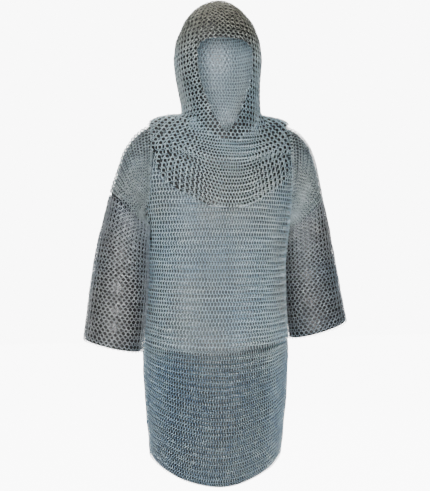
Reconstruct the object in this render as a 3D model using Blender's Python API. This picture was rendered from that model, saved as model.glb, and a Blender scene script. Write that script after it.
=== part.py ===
"""A worn chainmail hauberk with its coif, hollow, in metres.

The shirt hangs as it does on a standing wearer who faces -Y. +Z is up, +X is
the wearer's left side, and the origin is at the top of the shoulders, where
the wearer carries the weight. Every piece is a wall of mail with an outer and
an inner face, open at the neck, the face, the cuffs and the hem.
"""

import math

import bmesh
import bpy
from mathutils import Vector

COLLECTION = "Chainmail hauberk with coif"

# Driving dimensions
WALL = 0.003  # thickness of one layer of interlocked rings
SEAM = 0.0003  # gap between two pieces where they are joined
LAYER_GAP = 0.003  # air between the mantle and the shirt below it
HEM_HEIGHT = -0.853  # hem at the wearer's sides
HEM_DROOP = 0.040  # how much lower the hem hangs in front
HEM_LOWEST = math.radians(104)  # angle at which the hem is lowest
WAIST_HEIGHT = -0.500  # rows are level above this height
NECK_HEIGHT = 0.000  # neck opening of the shirt, wide enough for a head

# Armhole, an ellipse in height and depth drawn on the body's surface
ARMHOLE_CENTRE = -0.1265
ARMHOLE_HALF_HEIGHT = 0.1195
ARMHOLE_HALF_DEPTH = 0.070

# Counts of facets
PANEL_COLUMNS = 20
SKIRT_ROWS = 10
NECK_ROWS = 4
RING_POINTS = 24
CROWN_ROWS = 5
HOOD_ROWS = 6
MANTLE_ROWS = 10
COIF_POINTS = 48

# Level sections of the body, from the hem to the neck
BODY_COLUMNS = ("height", "centre_x", "half_width", "front", "back")
BODY_SECTIONS = (
    (-0.900, -0.0035, 0.1650, 0.146, 0.120),
    (-0.800, -0.0035, 0.1740, 0.153, 0.122),
    (-0.700, -0.0035, 0.1830, 0.160, 0.121),
    (-0.600, -0.0035, 0.1870, 0.165, 0.117),
    (-0.520, -0.0035, 0.1850, 0.164, 0.113),
    (-0.420, -0.0020, 0.1800, 0.153, 0.111),
    (-0.330, 0.0000, 0.1775, 0.144, 0.116),
    (-0.246, 0.0020, 0.1835, 0.142, 0.123),
    (-0.200, 0.0025, 0.1955, 0.139, 0.126),
    (-0.150, 0.0035, 0.2105, 0.131, 0.125),
    (-0.100, 0.0045, 0.2210, 0.114, 0.117),
    (-0.060, 0.0050, 0.2210, 0.095, 0.106),
    (-0.030, 0.0055, 0.2070, 0.081, 0.093),
    (-0.012, 0.0060, 0.1840, 0.072, 0.080),
    (0.000, 0.0060, 0.1500, 0.064, 0.068),
    (0.012, 0.0060, 0.0860, 0.055, 0.056),
)
SHOULDER_LEAN = 0.020  # rise of the shoulders towards the wearer's left
LEAN_FROM = -0.150  # the lean fades out below this height

# Rings of a sleeve from the armhole's ring to the cuff. Outer is the point
# farthest from the body, inner is the point nearest to it.
SLEEVE_COLUMNS = ("outer_x", "outer_z", "inner_x", "inner_z", "centre_y", "half_depth")
SLEEVE_RIGHT_RINGS = (
    (0.196, -0.027, 0.1860, -0.2480, 0.000, 0.077),
    (0.223, -0.052, 0.1885, -0.2510, -0.001, 0.081),
    (0.242, -0.086, 0.1900, -0.2550, -0.004, 0.082),
    (0.255, -0.125, 0.1900, -0.2600, -0.008, 0.081),
    (0.266, -0.162, 0.1875, -0.2660, -0.019, 0.079),
    (0.276, -0.197, 0.1830, -0.2750, -0.030, 0.077),
    (0.286, -0.236, 0.1815, -0.2920, -0.037, 0.075),
    (0.297, -0.280, 0.1820, -0.3180, -0.038, 0.073),
    (0.308, -0.330, 0.1805, -0.3580, -0.046, 0.071),
    (0.317, -0.380, 0.1800, -0.4020, -0.052, 0.070),
    (0.324, -0.432, 0.1825, -0.4540, -0.056, 0.070),
    (0.331, -0.487, 0.1880, -0.5130, -0.058, 0.071),
    (0.338, -0.546, 0.1960, -0.5790, -0.060, 0.073),
)
SLEEVE_LEFT_RINGS = (
    (0.215, -0.020, 0.1900, -0.2480, 0.000, 0.077),
    (0.240, -0.046, 0.1915, -0.2505, 0.001, 0.081),
    (0.256, -0.082, 0.1925, -0.2540, 0.003, 0.082),
    (0.267, -0.122, 0.1925, -0.2590, 0.006, 0.081),
    (0.277, -0.160, 0.1915, -0.2650, 0.010, 0.079),
    (0.287, -0.195, 0.1900, -0.2740, 0.014, 0.077),
    (0.298, -0.232, 0.1875, -0.2900, 0.018, 0.075),
    (0.309, -0.272, 0.1850, -0.3130, 0.022, 0.073),
    (0.320, -0.318, 0.1830, -0.3490, 0.025, 0.071),
    (0.331, -0.367, 0.1830, -0.3920, 0.027, 0.070),
    (0.341, -0.418, 0.1855, -0.4450, 0.028, 0.070),
    (0.351, -0.470, 0.1920, -0.5040, 0.028, 0.071),
    (0.361, -0.521, 0.2010, -0.5690, 0.028, 0.073),
)
SHOULDER_RING_COUNT = 7  # rings of the shoulder piece, counted from the armhole

# Coif: the crown is half an ellipsoid above the widest section of the hood
COIF_DEPTH_CENTRE = -0.020
NECK_AXIS = Vector((0.0075, COIF_DEPTH_CENTRE, 0.0))  # the mantle spreads from this line
CROWN_TOP = 0.3030
CROWN_BASE = 0.150
CROWN_POINT = 1.08  # above 1 the crown is a little more pointed than an ellipsoid
HOOD_COLUMNS = ("height", "centre_x", "half_width", "front", "back")
HOOD_SECTIONS = (
    (0.150, -0.0015, 0.1130, 0.116, 0.128),
    (0.106, -0.0010, 0.1085, 0.117, 0.121),
    (0.065, 0.0020, 0.1030, 0.114, 0.108),
    (0.018, 0.0070, 0.0995, 0.107, 0.098),
    (-0.070, 0.0080, 0.0980, 0.100, 0.094),
)
# Lower edge of the hood, where the mantle is joined to it
HOOD_EDGE = {"side": 0.038, "front": -0.068, "back": 0.012}
HOOD_CLEARANCE = 0.004  # the hood ends above the shirt, at least this far out from it
FILLET = 0.012  # how softly the neck turns out over the shirt
# Slack mail rolls out round the throat, above a crease
ROLL = {"side": 0.000, "front": 0.009, "back": 0.002}
ROLL_HEIGHT = {"side": 0.020, "front": -0.102, "back": -0.010}
ROLL_REACH = 0.016
PROFILE_STEPS = 48  # fine steps from which the mantle's rows are spaced

# Face opening, half widths from the brow to the throat
FACE_COLUMNS = ("height", "half_width")
FACE_OPENING = (
    (0.179, 0.040),
    (0.172, 0.060),
    (0.156, 0.072),
    (0.098, 0.0705),
    (0.055, 0.0585),
    (0.008, 0.0400),
    (-0.028, 0.0205),
    (-0.049, 0.000),
)
FACE_STEPS = 3  # straight runs between two rows of the table
FACE_CENTRE_X = 0.002
FACE_CUT_FROM = -0.250
FACE_CUT_TO = -0.050

# Lower edge of the mantle, by the angle round the neck from the front centre
FRONT_EDGE_COLUMNS = ("angle", "height")
MANTLE_FRONT_EDGE = (
    (0, -0.236),
    (24, -0.219),
    (44, -0.195),
    (62, -0.160),
    (71, -0.117),
    (75, -0.080),
    (78, -0.050),
    (83, -0.022),
    (90, -0.0115),
)
# and by the angle round the neck from the back centre
BACK_EDGE_COLUMNS = ("angle", "height")
MANTLE_BACK_EDGE = (
    (0, -0.215),
    (24, -0.205),
    (40, -0.180),
    (52, -0.138),
    (58, -0.098),
    (63, -0.058),
    (68, -0.030),
    (75, -0.015),
    (90, -0.0115),
)
MANTLE_TILT = 0.007  # the wearer's left half of the edge is this much higher
MANTLE_HALF_WIDTH = 0.173  # its side edges stay inside the armholes

# Folds of the shirt: a soft ridge or, with a negative height, a soft trough
FOLD_COLUMNS = ("angle", "z", "turn", "half_length", "half_width", "height")
BODY_FOLDS = (
    (58, -0.330, 30, 0.090, 0.030, 0.0035),
    (122, -0.340, -30, 0.090, 0.030, 0.0035),
    (50, -0.740, 3, 0.140, 0.032, 0.0045),
    (92, -0.760, -4, 0.130, 0.034, 0.0045),
    (134, -0.750, 5, 0.140, 0.032, 0.0040),
    (240, -0.730, -5, 0.140, 0.034, 0.0045),
    (288, -0.750, 4, 0.150, 0.034, 0.0045),
)

MATERIALS = {
    "body": ((0.29, 0.33, 0.37), 0.38, 0.95),
    "shoulder": ((0.26, 0.29, 0.33), 0.40, 0.95),
    "sleeve": ((0.19, 0.20, 0.22), 0.42, 0.95),
    "coif": ((0.21, 0.23, 0.24), 0.42, 0.95),
}


def rows_of(columns, table):
    """Give each row of a table its column names, in the order of the first column."""
    return [dict(zip(columns, row)) for row in sorted(table)]


def read_column(rows, key, name, at):
    """Read a column at a place between rows, on a smooth curve through them."""
    if at <= rows[0][key]:
        return rows[0][name]
    if at >= rows[-1][key]:
        return rows[-1][name]
    last = len(rows) - 1
    index = 0
    while rows[index + 1][key] <= at:
        index += 1

    def slope(i):
        low = rows[max(i - 1, 0)]
        high = rows[min(i + 1, last)]
        return (high[name] - low[name]) / (high[key] - low[key])

    start = rows[index]
    end = rows[index + 1]
    step = end[key] - start[key]
    t = (at - start[key]) / step
    return (
        (1 + 2 * t) * (1 - t) ** 2 * start[name]
        + t * (1 - t) ** 2 * step * slope(index)
        + t * t * (3 - 2 * t) * end[name]
        + t * t * (t - 1) * step * slope(index + 1)
    )


def smooth_step(value):
    """Ease from 0 to 1."""
    t = min(max(value, 0.0), 1.0)
    return t * t * (3 - 2 * t)


def around(angle, sizes):
    """Blend the side, front and back values of a size at an angle."""
    share = math.sin(angle)
    end = sizes["front"] if share > 0 else sizes["back"]
    return sizes["side"] + (end - sizes["side"]) * abs(share) ** 1.6


BODY = rows_of(BODY_COLUMNS, BODY_SECTIONS)
HOOD = rows_of(HOOD_COLUMNS, HOOD_SECTIONS)
FRONT_EDGE = rows_of(FRONT_EDGE_COLUMNS, MANTLE_FRONT_EDGE)
BACK_EDGE = rows_of(BACK_EDGE_COLUMNS, MANTLE_BACK_EDGE)
FACE = rows_of(FACE_COLUMNS, FACE_OPENING)
FOLDS = rows_of(FOLD_COLUMNS, BODY_FOLDS)


def fold_height(angle, z, radius):
    """Add up the folds near a place on the body's surface."""
    total = 0.0
    for fold in FOLDS:
        across = (angle - math.radians(fold["angle"])) * radius
        up = z - fold["z"]
        turn = math.radians(fold["turn"])
        along = up * math.cos(turn) + across * math.sin(turn)
        aside = across * math.cos(turn) - up * math.sin(turn)
        reach = (along / fold["half_length"]) ** 2 + (aside / fold["half_width"]) ** 2
        if reach < 9:
            total += fold["height"] * math.exp(-reach)
    return total


def body_point(angle, z):
    """Find a point of the body's surface; 0 is the wearer's left, 90 degrees the front."""
    half_width = read_column(BODY, "height", "half_width", z)
    side = "front" if math.sin(angle) >= 0 else "back"
    depth = read_column(BODY, "height", side, z)
    fold = fold_height(angle % math.tau, z, half_width)
    x = (half_width + fold) * math.cos(angle)
    y = -(depth + fold) * math.sin(angle)
    lean = SHOULDER_LEAN * x * smooth_step((z - LEAN_FROM) / -LEAN_FROM)
    return Vector((x + read_column(BODY, "height", "centre_x", z), y, z + lean))


def body_normal(angle, z):
    """Find the outward direction of the body's surface."""
    step = 0.01
    rise = 0.002
    top = min(z + rise, BODY[-1]["height"])
    along = body_point(angle + step, z) - body_point(angle - step, z)
    up = body_point(angle, top) - body_point(angle, top - 2 * rise)
    return up.cross(along).normalized()


def droop(angle, z):
    """Lower a point of the skirt towards the front centre."""
    share = smooth_step((WAIST_HEIGHT - z) / (WAIST_HEIGHT - HEM_HEIGHT))
    front = max(math.cos(angle - HEM_LOWEST), 0.0) * max(math.sin(angle), 0.0)
    return HEM_DROOP * share * front


def armhole_depth(height, half_depth=ARMHOLE_HALF_DEPTH):
    """Find the armhole's half depth at a height from -1 to 1."""
    return half_depth * math.sqrt(1 - height * height)


def panel_heights():
    """List the levels of a body panel: the skirt, the armhole and the neck."""
    bottom = ARMHOLE_CENTRE - ARMHOLE_HALF_HEIGHT
    skirt = [HEM_HEIGHT + (bottom - HEM_HEIGHT) * i / SKIRT_ROWS for i in range(SKIRT_ROWS)]
    half = RING_POINTS // 2
    armhole = []
    for index in range(half + 1):
        share = math.cos(math.pi * (half - index) / half)
        armhole.append(ARMHOLE_CENTRE + ARMHOLE_HALF_HEIGHT * share)
    rise = (NECK_HEIGHT - armhole[-1]) / NECK_ROWS
    neck = [armhole[-1] + rise * i for i in range(1, NECK_ROWS + 1)]
    return skirt + armhole + neck


def side_angle(z, depth_name):
    """Find the first angle of a panel's level, half a seam from the other panel."""
    half_width = read_column(BODY, "height", "half_width", z)
    depth = read_column(BODY, "height", depth_name, z)
    height = (z - ARMHOLE_CENTRE) / ARMHOLE_HALF_HEIGHT
    opening = armhole_depth(height) if abs(height) < 1 else 0.0
    return max(math.asin(opening / depth), SEAM / 2 / half_width)


def body_panel(name, depth_name, first_side):
    """Make the front or the back as a wall between its two side seams."""
    outer = []
    inner = []
    for z in panel_heights():
        start = side_angle(z, depth_name)
        outer_row = []
        inner_row = []
        for column in range(PANEL_COLUMNS + 1):
            angle = first_side + start + (math.pi - 2 * start) * column / PANEL_COLUMNS
            point = body_point(angle, z)
            normal = body_normal(angle, z)
            point.z -= droop(angle, z)
            outer_row.append(point)
            inner_row.append(point - normal * WALL)
        outer.append(outer_row)
        inner.append(inner_row)
    return wall(name, outer, inner, "body", closed=False)


def armhole_ring(side):
    """Place the first ring of a shoulder piece on the armhole, one seam inside it."""
    points = []
    normals = []
    for index in range(RING_POINTS):
        turn = math.tau * index / RING_POINTS
        z = ARMHOLE_CENTRE + (ARMHOLE_HALF_HEIGHT - SEAM) * math.cos(turn)
        y = -(ARMHOLE_HALF_DEPTH - SEAM) * math.sin(turn)
        depth = read_column(BODY, "height", "front" if y <= 0 else "back", z)
        angle = math.asin(-y / depth)
        if side < 0:
            angle = math.pi - angle
        points.append(body_point(angle, z))
        normals.append(body_normal(angle, z))
    return points, normals


def sleeve_rings(side, ring_table):
    """List every ring of points from the armhole to the cuff."""
    rings = [armhole_ring(side)[0]]
    for row in ring_table:
        ring = dict(zip(SLEEVE_COLUMNS, row))
        outer = Vector((side * ring["outer_x"], ring["centre_y"], ring["outer_z"]))
        inner = Vector((side * ring["inner_x"], ring["centre_y"], ring["inner_z"]))
        centre = (outer + inner) / 2
        points = []
        for index in range(RING_POINTS):
            turn = math.tau * index / RING_POINTS
            forward = Vector((0, -ring["half_depth"] * math.sin(turn), 0))
            points.append(centre + (outer - centre) * math.cos(turn) + forward)
        rings.append(points)
    return rings


def grid_normals(rows, sign):
    """Find the outward direction at each point of a grid that closes on itself."""
    normals = []
    last = len(rows) - 1
    for index, row in enumerate(rows):
        above = rows[max(index - 1, 0)]
        below = rows[min(index + 1, last)]
        line = []
        for column in range(len(row)):
            along = row[(column + 1) % len(row)] - row[column - 1]
            down = below[column] - above[column]
            line.append((along.cross(down) * sign).normalized())
        normals.append(line)
    return normals


def joined_edge(row, neighbour):
    """Move a ring a seam's width towards the ring that follows it."""
    moved = []
    for point, after in zip(row, neighbour):
        moved.append(point + (after - point).normalized() * SEAM)
    return moved


def sleeve(side, label, ring_table):
    """Make one shoulder piece and the sleeve below it."""
    rings = sleeve_rings(side, ring_table)
    normals = grid_normals(rings, side)
    normals[0] = armhole_ring(side)[1]
    inside = [
        [point - normal * WALL for point, normal in zip(*pair)] for pair in zip(rings, normals)
    ]
    count = SHOULDER_RING_COUNT
    wall(f"shoulder_{label}", rings[:count], inside[:count], "shoulder", closed=True)
    seam = count - 1
    outer = [joined_edge(rings[seam], rings[count])] + rings[count:]
    inner = [joined_edge(inside[seam], inside[count])] + inside[count:]
    wall(f"sleeve_{label}", outer, inner, "sleeve", closed=True)


def coif_section(angle, centre_x, half_width, front, back, z):
    """Find a point of a level section of the coif."""
    depth = front if math.sin(angle) >= 0 else back
    x = centre_x + half_width * math.cos(angle)
    y = COIF_DEPTH_CENTRE - depth * math.sin(angle)
    return Vector((x, y, z))


def hood_point(angle, z):
    """Find a point of the hood below the crown."""
    sizes = [read_column(HOOD, "height", name, z) for name in HOOD_COLUMNS[1:]]
    return coif_section(angle, *sizes, z)


def coif_column(angle):
    """List the points of the coif from its crown down to the mantle's edge."""
    base = HOOD[-1]
    points = []
    for index in range(1, CROWN_ROWS + 1):
        turn = math.pi / 2 * index / CROWN_ROWS
        share = math.sin(turn) ** CROWN_POINT
        sizes = [base[name] * share for name in HOOD_COLUMNS[2:]]
        z = CROWN_BASE + (CROWN_TOP - CROWN_BASE) * math.cos(turn)
        points.append(coif_section(angle, base["centre_x"], *sizes, z))
    edge = hood_edge(angle)
    for index in range(1, HOOD_ROWS + 1):
        points.append(hood_point(angle, CROWN_BASE + (edge - CROWN_BASE) * index / HOOD_ROWS))
    return points + mantle_column(angle, points[-1])


def shirt_clearance(x, y, z):
    """Measure how far a place is from the shirt's outer surface, about."""

    def level(at_x, at_y, at_z):
        height = at_z - SHOULDER_LEAN * at_x * smooth_step((at_z - LEAN_FROM) / -LEAN_FROM)
        half_width = read_column(BODY, "height", "half_width", height)
        depth = read_column(BODY, "height", "front" if at_y <= 0 else "back", height)
        centre = read_column(BODY, "height", "centre_x", height)
        return math.hypot((at_x - centre) / half_width, at_y / depth)

    step = 0.0005
    here = level(x, y, z)
    slope = Vector((
        level(x + step, y, z) - level(x - step, y, z),
        level(x, y + step, z) - level(x, y - step, z),
        level(x, y, z + step) - level(x, y, z - step),
    )) / (2 * step)
    return (here - 1) / slope.length


def shirt_reach(direction, z):
    """Find how far from the neck's axis the mantle lies on the shirt at a height."""
    near = 0.02
    far = 0.30
    for halving in range(22):
        middle = (near + far) / 2
        place = NECK_AXIS + direction * middle
        if shirt_clearance(place.x, place.y, z) < WALL + LAYER_GAP:
            near = middle
        else:
            far = middle
    return far


def hood_edge(angle):
    """Find the height where the hood ends, always above the shirt."""
    z = around(angle, HOOD_EDGE)
    while z < HOOD_EDGE["side"]:
        arm = hood_point(angle, z) - NECK_AXIS
        arm.z = 0
        if arm.length - shirt_reach(arm.normalized(), z) > HOOD_CLEARANCE:
            return z
        z += 0.0005
    return z


def mantle_column(angle, start):
    """Space points evenly down a column of the mantle, from the hood's edge to its own."""
    direction = Vector((start.x, start.y, 0)) - NECK_AXIS
    direction.normalize()
    lowest = mantle_edge(math.atan2(-direction.y, direction.x))
    profile = [start]
    lengths = [0.0]
    for index in range(1, PROFILE_STEPS + 1):
        z = start.z + (lowest - start.z) * index / PROFILE_STEPS
        column = (hood_point(angle, z) - NECK_AXIS).xy.length
        below = (z - around(angle, ROLL_HEIGHT)) / ROLL_REACH
        column += around(angle, ROLL) * math.exp(-below * below)
        shirt = shirt_reach(direction, z)
        blend = max(1 - abs(shirt - column) / FILLET, 0)
        reach = max(shirt, column) + FILLET / 4 * blend**2
        point = NECK_AXIS + direction * reach
        point.z = z
        lengths.append(lengths[-1] + (point - profile[-1]).length)
        profile.append(point)
    points = []
    for row in range(1, MANTLE_ROWS + 1):
        target = lengths[-1] * row / MANTLE_ROWS
        index = 1
        while lengths[index] < target - 1e-9:
            index += 1
        share = (target - lengths[index - 1]) / (lengths[index] - lengths[index - 1])
        points.append(profile[index - 1].lerp(profile[index], share))
    return points


def mantle_edge(turn):
    """Find the height of the mantle's lower edge at an angle round the neck."""
    direction = Vector((math.cos(turn), -math.sin(turn), 0))
    share = math.sin(turn)
    from_centre = 90 - math.degrees(math.asin(min(abs(share), 1.0)))
    edge = FRONT_EDGE if share >= 0 else BACK_EDGE
    tilt = MANTLE_TILT * math.sin(2 * turn) * abs(share)
    low = read_column(edge, "angle", "height", from_centre) + tilt

    def overhang(z):
        place = NECK_AXIS + direction * shirt_reach(direction, z)
        return abs(place.x) - MANTLE_HALF_WIDTH

    if overhang(low) <= 0:
        return low
    high = 0.0
    for halving in range(22):
        middle = (low + high) / 2
        if overhang(middle) > 0:
            low = middle
        else:
            high = middle
    return high


def coif():
    """Make the hood with its face opening, and the mantle below it."""
    angles = [math.tau * index / COIF_POINTS for index in range(COIF_POINTS)]
    columns = [coif_column(angle) for angle in angles]
    rows = [list(row) for row in zip(*columns)]
    normals = grid_normals(rows, 1)
    crown = Vector((HOOD[-1]["centre_x"], COIF_DEPTH_CENTRE, CROWN_TOP))
    inside = [
        [point - normal * WALL for point, normal in zip(*pair)] for pair in zip(rows, normals)
    ]
    count = CROWN_ROWS + HOOD_ROWS
    poles = (crown, crown - Vector((0, 0, WALL)))
    hood = wall("coif_hood", rows[:count], inside[:count], "coif", closed=True, poles=poles)
    seam = count - 1
    outer = [joined_edge(rows[seam], rows[count])] + rows[count:]
    inner = [joined_edge(inside[seam], inside[count])] + inside[count:]
    wall("coif_mantle", outer, inner, "coif", closed=True)
    cut_face_opening(hood)


def face_outline():
    """Trace the face opening once round, in X and Z."""
    brow = FACE[-1]
    left = []
    for index in range(len(FACE) - 1):
        low = FACE[index]["height"]
        rise = FACE[index + 1]["height"] - low
        for step in range(FACE_STEPS):
            z = low + rise * step / FACE_STEPS
            left.append((max(read_column(FACE, "height", "half_width", z), 0.0), z))
    left.append((brow["half_width"], brow["height"]))
    right = [(-x, z) for x, z in reversed(left[1:])]
    return left + right


def cut_face_opening(hood):
    """Cut the face opening through the front of the hood only."""
    outline = face_outline()
    curve = bpy.data.curves.new("face_opening_outline", "CURVE")
    curve.dimensions = "2D"
    curve.fill_mode = "BOTH"
    curve.extrude = (FACE_CUT_TO - FACE_CUT_FROM) / 2
    spline = curve.splines.new("POLY")
    spline.points.add(len(outline) - 1)
    for point, (x, z) in zip(spline.points, outline):
        point.co = (x, z, 0, 1)
    spline.use_cyclic_u = True
    guide = bpy.data.objects.new("face_opening_outline", curve)
    guide.rotation_euler = (math.pi / 2, 0, 0)
    guide.location = (FACE_CENTRE_X, (FACE_CUT_FROM + FACE_CUT_TO) / 2, 0)
    cutters.objects.link(guide)
    bpy.context.view_layer.update()
    evaluated = guide.evaluated_get(bpy.context.evaluated_depsgraph_get())
    mesh = bpy.data.meshes.new_from_object(evaluated)
    shape = bmesh.new()
    shape.from_mesh(mesh)
    bmesh.ops.remove_doubles(shape, verts=shape.verts, dist=0.00001)
    shape.to_mesh(mesh)
    shape.free()
    cutter = bpy.data.objects.new("face_opening_cutter", mesh)
    cutter.matrix_world = guide.matrix_world
    cutter.hide_render = True
    cutter.display_type = "WIRE"
    cutters.objects.link(cutter)
    bpy.data.objects.remove(guide)
    cut = hood.modifiers.new("Face opening", "BOOLEAN")
    cut.operation = "DIFFERENCE"
    cut.object = cutter


def wall(name, outer, inner, material, closed, poles=None):
    """Join an outer and an inner grid into one closed wall."""
    shape = bmesh.new()
    outside = [[shape.verts.new(point) for point in row] for row in outer]
    inside = [[shape.verts.new(point) for point in row] for row in inner]
    width = len(outer[0])
    spans = width if closed else width - 1
    for row in range(len(outer) - 1):
        for column in range(spans):
            after = (column + 1) % width
            for layer, order in ((outside, 1), (inside, -1)):
                corners = [
                    layer[row][column],
                    layer[row][after],
                    layer[row + 1][after],
                    layer[row + 1][column],
                ]
                shape.faces.new(corners[::order])
    for column in range(spans):
        after = (column + 1) % width
        edges = [(outside[-1], inside[-1])]
        if poles is None:
            edges.append((outside[0], inside[0]))
        for out_row, in_row in edges:
            shape.faces.new((out_row[column], out_row[after], in_row[after], in_row[column]))
    if poles is not None:
        for layer, pole in ((outside, poles[0]), (inside, poles[1])):
            top = shape.verts.new(pole)
            for column in range(spans):
                shape.faces.new((top, layer[0][column], layer[0][(column + 1) % width]))
    if not closed:
        for row in range(len(outer) - 1):
            for side in (0, -1):
                shape.faces.new(
                    (outside[row][side], outside[row + 1][side],
                     inside[row + 1][side], inside[row][side])
                )
    bmesh.ops.recalc_face_normals(shape, faces=shape.faces)
    bmesh.ops.triangulate(shape, faces=shape.faces)
    mesh = bpy.data.meshes.new(name)
    shape.to_mesh(mesh)
    shape.free()
    mesh.shade_smooth()
    mesh.set_sharp_from_angle(angle=math.radians(50))
    piece = bpy.data.objects.new(name, mesh)
    mesh.materials.append(mail_material(name, *MATERIALS[material]))
    parts.objects.link(piece)
    return piece


def mail_material(name, colour, roughness, metallic):
    """Give a piece its own steel, seen from far enough to blend the rings."""
    material = bpy.data.materials.new(name + "_mail")
    material.use_nodes = True
    shader = material.node_tree.nodes["Principled BSDF"]
    shader.inputs["Base Color"].default_value = (*colour, 1)
    shader.inputs["Roughness"].default_value = roughness
    shader.inputs["Metallic"].default_value = metallic
    return material


for old in list(bpy.data.objects):
    bpy.data.objects.remove(old, do_unlink=True)
parts = bpy.data.collections.new(COLLECTION)
cutters = bpy.data.collections.new("Cutters")
bpy.context.scene.collection.children.link(parts)
bpy.context.scene.collection.children.link(cutters)

body_panel("body_front", "front", 0.0)
body_panel("body_back", "back", math.pi)
sleeve(-1, "right", SLEEVE_RIGHT_RINGS)
sleeve(1, "left", SLEEVE_LEFT_RINGS)
coif()
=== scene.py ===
# %% [markdown]
# # A mail shirt with its mail hood
# The object is a hauberk, a shirt of linked steel rings, worn together with a
# hood of the same mail whose mantle lies over the shoulders. The frame that is
# loaded here holds the plain solid wall of each panel. Every wall is replaced
# by a thin cloth on its own form, whose dark colour is painted shade, and by
# modelled steel rings that lie on it.

import math

import bmesh
import bpy
from mathutils import Matrix, Vector, noise
from mathutils.bvhtree import BVHTree
from random import Random


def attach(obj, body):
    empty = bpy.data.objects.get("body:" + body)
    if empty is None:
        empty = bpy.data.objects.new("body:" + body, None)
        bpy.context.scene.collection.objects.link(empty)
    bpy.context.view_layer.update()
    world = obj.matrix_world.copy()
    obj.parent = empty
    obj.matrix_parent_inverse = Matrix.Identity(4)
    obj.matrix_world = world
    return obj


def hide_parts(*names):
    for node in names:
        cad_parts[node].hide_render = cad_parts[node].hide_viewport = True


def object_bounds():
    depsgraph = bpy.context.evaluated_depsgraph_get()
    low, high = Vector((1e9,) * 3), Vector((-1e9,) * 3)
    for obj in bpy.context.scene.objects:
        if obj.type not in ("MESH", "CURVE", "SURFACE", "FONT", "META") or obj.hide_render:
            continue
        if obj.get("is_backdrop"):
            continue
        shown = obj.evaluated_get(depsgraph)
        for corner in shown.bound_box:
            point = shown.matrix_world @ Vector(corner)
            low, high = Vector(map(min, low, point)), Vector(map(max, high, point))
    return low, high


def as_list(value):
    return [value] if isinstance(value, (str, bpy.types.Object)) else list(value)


def rounded(place):
    """Round a place to millimetres, for printing."""
    return [round(value, 3) for value in place]


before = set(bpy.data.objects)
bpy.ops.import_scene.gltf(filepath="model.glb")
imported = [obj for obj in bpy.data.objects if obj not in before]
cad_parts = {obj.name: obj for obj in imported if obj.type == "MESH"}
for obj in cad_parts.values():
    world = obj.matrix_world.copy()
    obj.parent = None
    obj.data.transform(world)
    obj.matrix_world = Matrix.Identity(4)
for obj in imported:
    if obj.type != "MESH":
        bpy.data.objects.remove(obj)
cad_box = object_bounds()
print("nodes", sorted(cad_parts))
print("box", [rounded(corner) for corner in cad_box])

# %% [markdown]
# ## Camera
# The photograph looks level at the middle of the shirt, a little from its
# right side. The camera stands 1.6 m from the middle, and a small shift puts
# the picture's centre where the photograph has it.

# %% Place the camera
CAMERA_TURN = math.radians(-10)
CAMERA_DISTANCE = 1.6
CAMERA_HEIGHT = -0.333
LENS = 45.1  # in millimetres, like the width of the sensor
SENSOR_WIDTH = 36
PICTURE_SHIFT = (-0.0041, 0.0092)


def new_object(name, data):
    """Make an object and put it in the scene."""
    thing = bpy.data.objects.new(name, data)
    bpy.context.scene.collection.objects.link(thing)
    return thing


forward = Vector((-math.sin(CAMERA_TURN), math.cos(CAMERA_TURN), 0))
camera_data = bpy.data.cameras.new("camera")
camera = new_object("camera", camera_data)
bpy.context.scene.camera = camera
camera.location = Vector((0, 0, CAMERA_HEIGHT)) - forward * CAMERA_DISTANCE
camera.rotation_euler = (math.radians(90), 0, CAMERA_TURN)
camera_data.lens = LENS
camera_data.sensor_width = SENSOR_WIDTH
camera_data.shift_x = PICTURE_SHIFT[0]
camera_data.shift_y = PICTURE_SHIFT[1]
print("camera", rounded(camera.location))

# %% [markdown]
# ## Forms to lay mail on
# Mail follows the form below it in smooth curves, so each panel needs a smooth
# surface that can be read anywhere. Rays are sent at the wall from outside, in
# an even fan, and the points that they hit become a grid. Places where a
# panel is cut out, such as the armholes, are bridged with a curve, so that the
# rows on both sides of the opening belong together.

# %% A search tree of some walls
def tree_of(*names):
    """Join the named walls in one search tree."""
    joined = bmesh.new()
    for name in names:
        joined.from_mesh(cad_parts[name].data)
    tree = BVHTree.FromBMesh(joined)
    joined.free()
    return tree


REACH = 0.5  # a ray starts this far out from its pivot
LEAST_REACH = 0.03  # and stops this far from it


def probe(tree, pivot, outward):
    """Find how far out from the pivot the wall's outer side is, or None."""
    start = pivot + outward * REACH
    hit = tree.ray_cast(start, -outward, REACH - LEAST_REACH)
    if hit[0] is None:
        return None
    return (hit[0] - pivot).length


def bridge(line, closed):
    """Fill the gaps of a line of distances with curves between their ends."""
    count = len(line)
    known = [index for index, value in enumerate(line) if value is not None]
    filled = list(line)
    if not known or len(known) == count:
        return filled
    for order, start in enumerate(known):
        last = order == len(known) - 1
        if last and not closed:
            for index in range(start + 1, count):
                filled[index] = line[start]
            break
        end = known[0] + count if last else known[order + 1]
        span = end - start
        if span == 1:
            continue
        before = line[start] - (line[start - 1] if line[start - 1] is not None else line[start])
        ahead = line[(end + 1) % count]
        after = (ahead if ahead is not None else line[end % count]) - line[end % count]
        for step in range(1, span):
            t = step / span
            filled[(start + step) % count] = (
                (1 + 2 * t) * (1 - t) ** 2 * line[start]
                + t * (1 - t) ** 2 * span * before
                + t * t * (3 - 2 * t) * line[end % count]
                + t * t * (t - 1) * span * after
            )
    if not closed:
        for index in range(known[0]):
            filled[index] = line[known[0]]
    return filled


# %% A smooth surface through a grid of points
NEIGHBOUR = 0.002  # how far aside a place is read to find the directions at a point


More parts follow.
